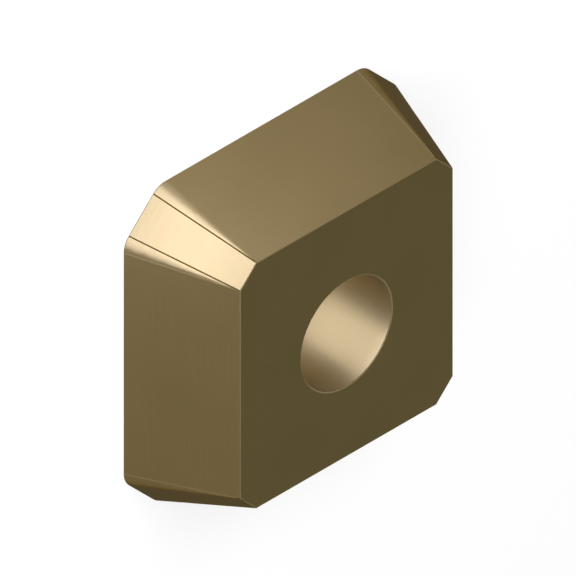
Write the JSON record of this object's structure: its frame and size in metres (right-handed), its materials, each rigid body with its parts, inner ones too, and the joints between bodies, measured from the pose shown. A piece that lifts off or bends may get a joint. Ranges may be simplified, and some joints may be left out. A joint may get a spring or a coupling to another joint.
{
  "type": "carbide insert",
  "caption": "Square indexable milling insert of coated cemented carbide with cut corners, inclined flanks and a countersunk screw hole.",
  "frame": {"origin": "on the screw hole's axis, in the plane of the rake face that the insert lies on", "axes": "+Z along the screw hole, from the rake face up to the smaller seat face; X and Y square to the four flanks"},
  "size_m": [0.0126, 0.0126, 0.004],
  "materials": {
    "coated_carbide": "satin"
  },
  "bodies": {
    "root": {"carbide_insert": "coated_carbide"}
  },
  "joints": []
}
